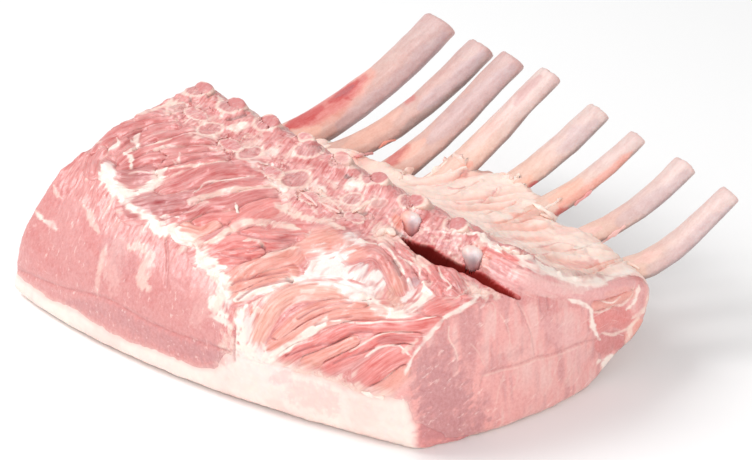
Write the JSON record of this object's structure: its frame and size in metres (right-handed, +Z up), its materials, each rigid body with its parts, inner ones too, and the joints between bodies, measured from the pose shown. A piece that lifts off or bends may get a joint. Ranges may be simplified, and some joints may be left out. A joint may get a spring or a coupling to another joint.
{
  "type": "raw pork rack",
  "caption": "Raw pork rack lying on its back fat, with frenched ribs curving up beside the sawn chine and a knife cut behind the eye of the loin.",
  "frame": {"origin": "middle of the footprint, on the board it lies on", "axes": "+Z up, +X along the spine towards the near cut end, +Y from the sawn back edge towards the rib tips"},
  "size_m": [0.266, 0.2738, 0.1042],
  "materials": {
    "lean": "raw lean pork, moist, pink with pale seams of fat between its muscles",
    "back_fat": "firm white back fat, faintly pink",
    "rib_fat": "cream fat and membrane over the ribs, softly wrinkled",
    "bone": "scraped raw rib bone, pinkish grey, with traces of blood and peach-coloured roots",
    "sawn_bone": "sawn red marrow bone, finely porous",
    "cartilage": "smooth bluish white joint cartilage"
  },
  "bodies": {
    "root": {"loin_meat": "lean", "back_fat": "back_fat", "rib_fat": "rib_fat", "rib_1": "bone", "rib_2": "bone", "rib_3": "bone", "rib_4": "bone", "rib_5": "bone", "rib_6": "bone", "rib_7": "bone", "rib_8": "bone", "chine_1": "sawn_bone", "chine_2": "sawn_bone", "chine_3": "sawn_bone", "chine_4": "sawn_bone", "chine_5": "sawn_bone", "cartilage_1": "cartilage", "cartilage_2": "cartilage"}
  },
  "joints": []
}
